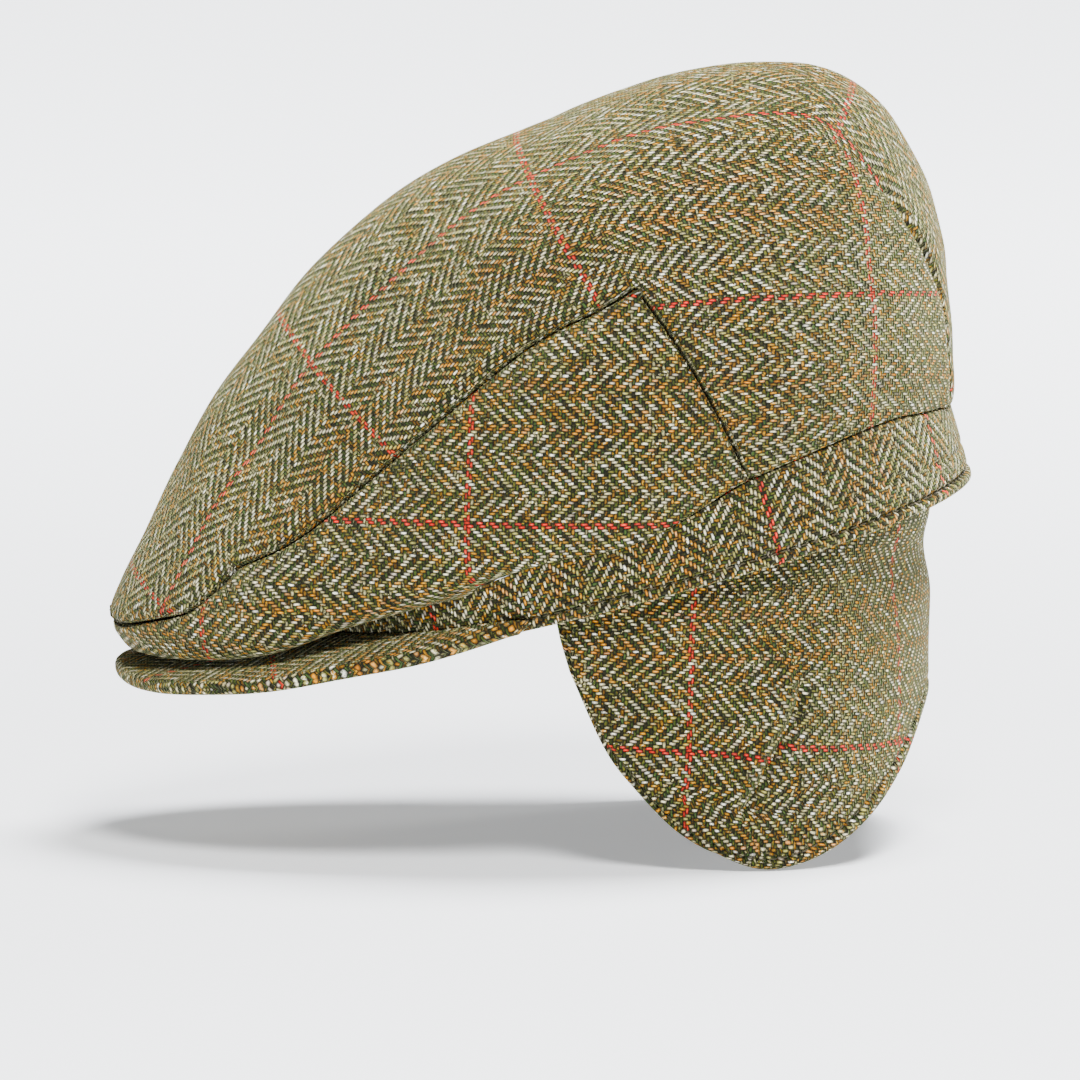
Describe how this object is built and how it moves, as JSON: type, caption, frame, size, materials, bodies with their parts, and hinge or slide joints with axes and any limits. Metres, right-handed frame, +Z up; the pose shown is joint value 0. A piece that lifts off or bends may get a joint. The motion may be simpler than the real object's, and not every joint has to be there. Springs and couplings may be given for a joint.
{
  "type": "flat cap with folding ear flap",
  "caption": "Tweed flat cap with a stiff peak and an ear and neck flap that is folded down.",
  "frame": {"origin": "centre of the head opening, in the plane of the band's lower edge", "axes": "+X to the wearer's left, -Y to the front over the peak, +Z up with the cap tilted as worn, so that the rim is 15 degrees from level and lower in front"},
  "size_m": [0.1812, 0.2695, 0.2444],
  "materials": {
    "crown_tweed": "herringbone wool tweed, matt",
    "side_tweed": "herringbone wool tweed, matt",
    "band_tweed": "herringbone wool tweed, matt",
    "peak_tweed": "herringbone wool tweed, matt",
    "flap_tweed": "herringbone wool tweed, matt"
  },
  "bodies": {
    "root": {"crown_top": "crown_tweed", "side_panel_left": "side_tweed", "side_panel_right": "side_tweed", "band": "band_tweed", "peak": "peak_tweed", "ear_neck_flap": "flap_tweed"}
  },
  "joints": []
}
